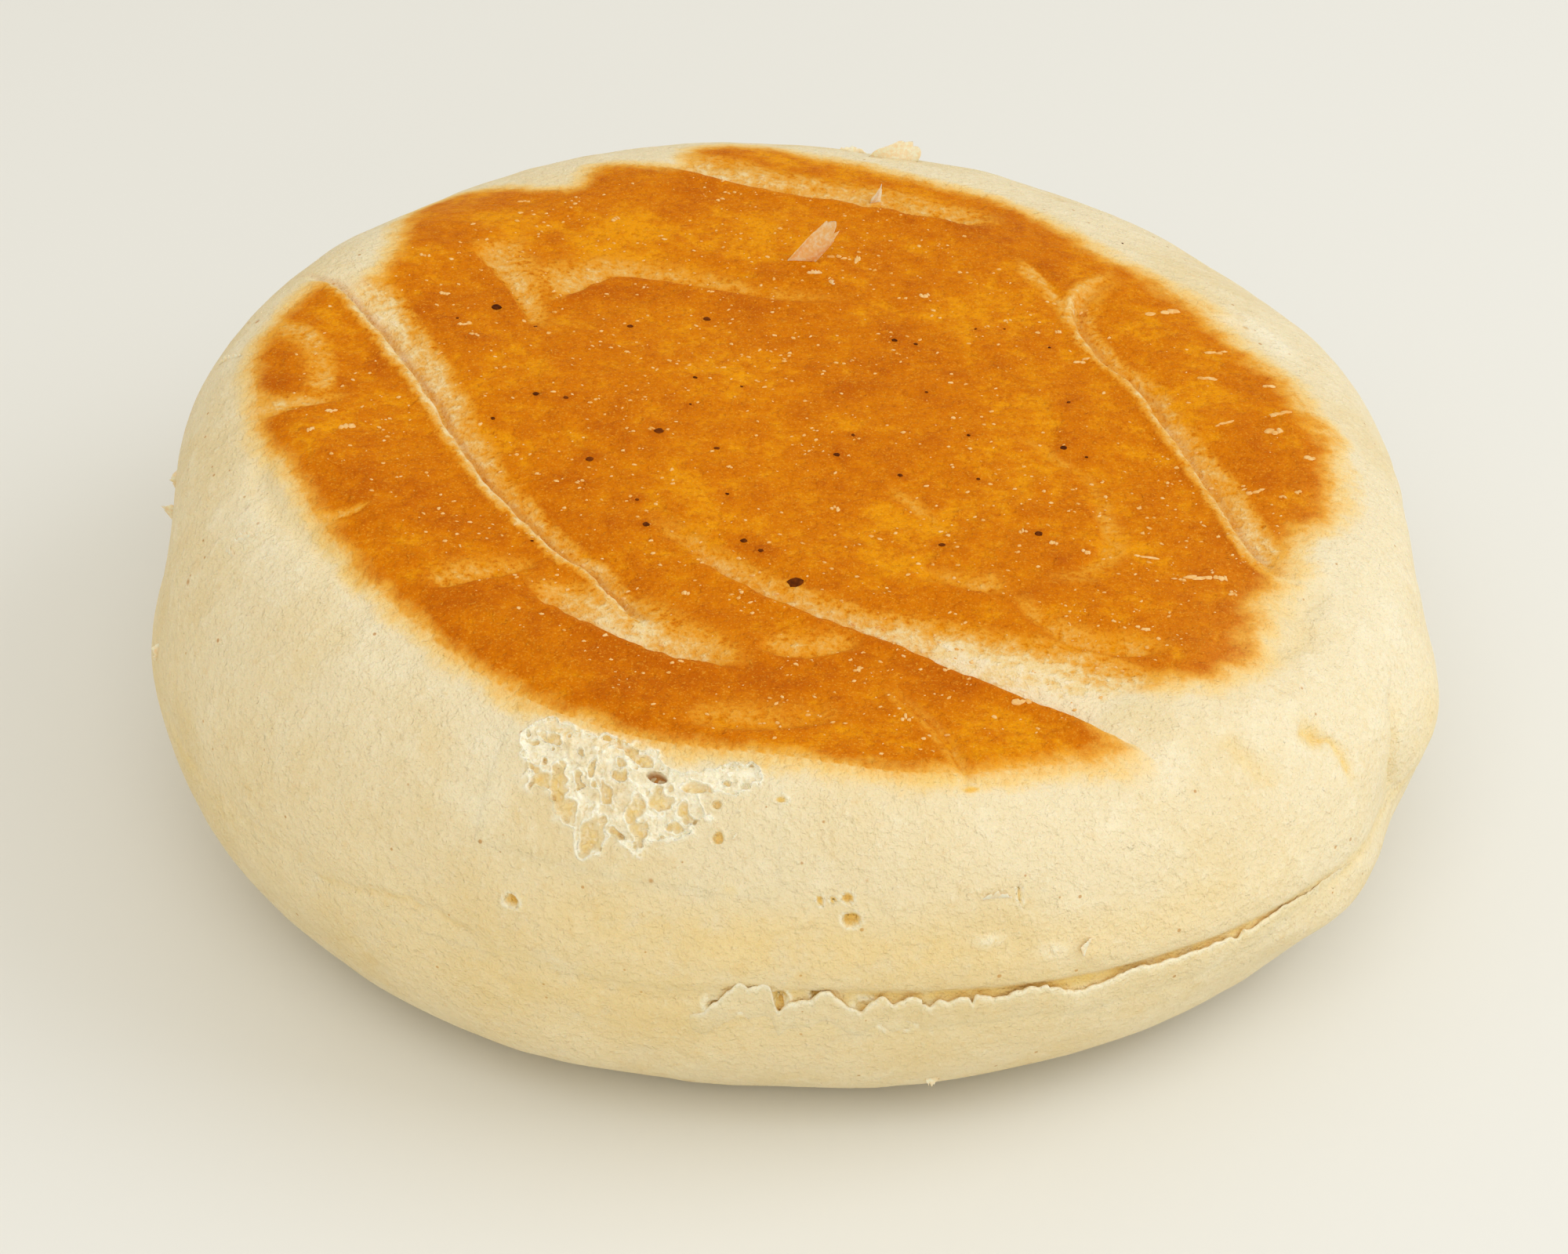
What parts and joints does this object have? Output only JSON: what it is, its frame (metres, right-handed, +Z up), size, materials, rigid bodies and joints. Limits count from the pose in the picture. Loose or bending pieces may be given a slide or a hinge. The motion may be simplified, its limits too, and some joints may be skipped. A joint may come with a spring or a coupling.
{
  "type": "english muffin",
  "caption": "Whole griddled english muffin: a thick round bread with a browned flat top and base, pale soft sides, a seam round the middle and creases in its top",
  "frame": {"origin": "under the middle of the muffin's box, on the flat underside it rests on", "axes": "+Z up through the thickness, -Y towards the viewer of the picture, +X to the viewer's right"},
  "size_m": [0.0948, 0.0979, 0.0344],
  "materials": {
    "griddled_dough": "dry matt bread skin: pale cream sides with fine bran specks, orange-brown toasted faces with flour on them"
  },
  "bodies": {
    "root": {"muffin": "griddled_dough"}
  },
  "joints": []
}
